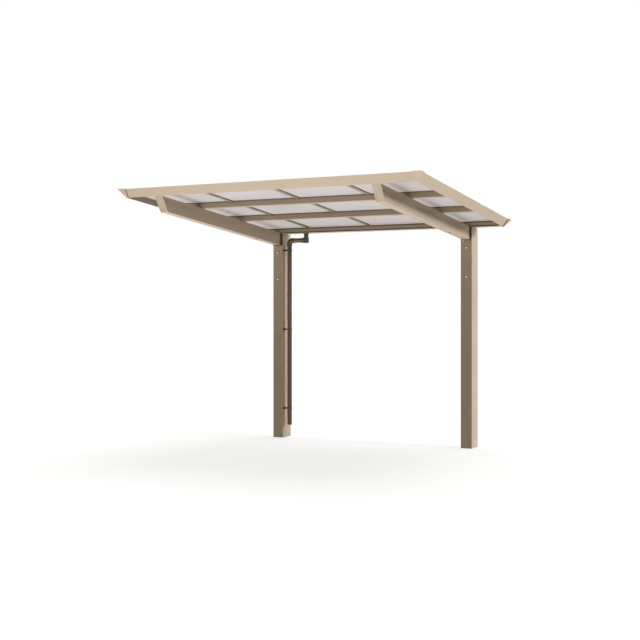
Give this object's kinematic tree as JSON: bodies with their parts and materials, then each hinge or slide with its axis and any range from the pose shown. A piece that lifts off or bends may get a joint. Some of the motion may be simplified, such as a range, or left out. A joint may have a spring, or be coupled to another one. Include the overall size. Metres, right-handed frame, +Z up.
{
  "type": "cantilever carport",
  "caption": "Small cantilever carport with a flat framed panel roof on two rear posts and arms, a rear gutter and a side downspout.",
  "frame": {"origin": "centre of the left post's foot, on the ground", "axes": "+X to the right post along the roof's long side, +Y to the rear (gutter) side, +Z up"},
  "size_m": [2.549, 2.1241, 2.1335],
  "materials": {
    "champagne_aluminium": "satin anodised, warm champagne bronze",
    "bronze_pipe": "darker bronze coated rainwater pipes",
    "dark_bracket": "dark bronze coated",
    "clear_panel": "frosted translucent polycarbonate",
    "black_clamp": "black coated"
  },
  "bodies": {
    "root": {"left_post": "champagne_aluminium", "right_post": "champagne_aluminium", "left_post_cap": "champagne_aluminium", "right_post_cap": "champagne_aluminium", "left_beam": "champagne_aluminium", "right_beam": "champagne_aluminium", "left_beam_cap": "champagne_aluminium", "right_beam_cap": "champagne_aluminium", "left_bracket": "dark_bracket", "right_bracket": "dark_bracket", "front_fascia": "champagne_aluminium", "left_fascia": "champagne_aluminium", "right_fascia": "champagne_aluminium", "gutter": "champagne_aluminium", "left_gutter_end": "champagne_aluminium", "right_gutter_end": "champagne_aluminium", "front_left_corner": "champagne_aluminium", "front_right_corner": "champagne_aluminium", "rear_left_corner": "champagne_aluminium", "rear_right_corner": "champagne_aluminium", "front_purlin": "champagne_aluminium", "rear_purlin": "champagne_aluminium", "rafter_1": "champagne_aluminium", "rafter_2": "champagne_aluminium", "rafter_3": "champagne_aluminium", "rafter_cover_1": "champagne_aluminium", "rafter_cover_2": "champagne_aluminium", "rafter_cover_3": "champagne_aluminium", "roof_panel_1": "clear_panel", "roof_panel_2": "clear_panel", "roof_panel_3": "clear_panel", "roof_panel_4": "clear_panel", "gutter_outlet": "bronze_pipe", "drain_arm": "bronze_pipe", "drain_elbow": "bronze_pipe", "downspout": "bronze_pipe", "upper_clamp": "black_clamp", "middle_clamp": "black_clamp", "lower_clamp": "black_clamp"}
  },
  "joints": []
}
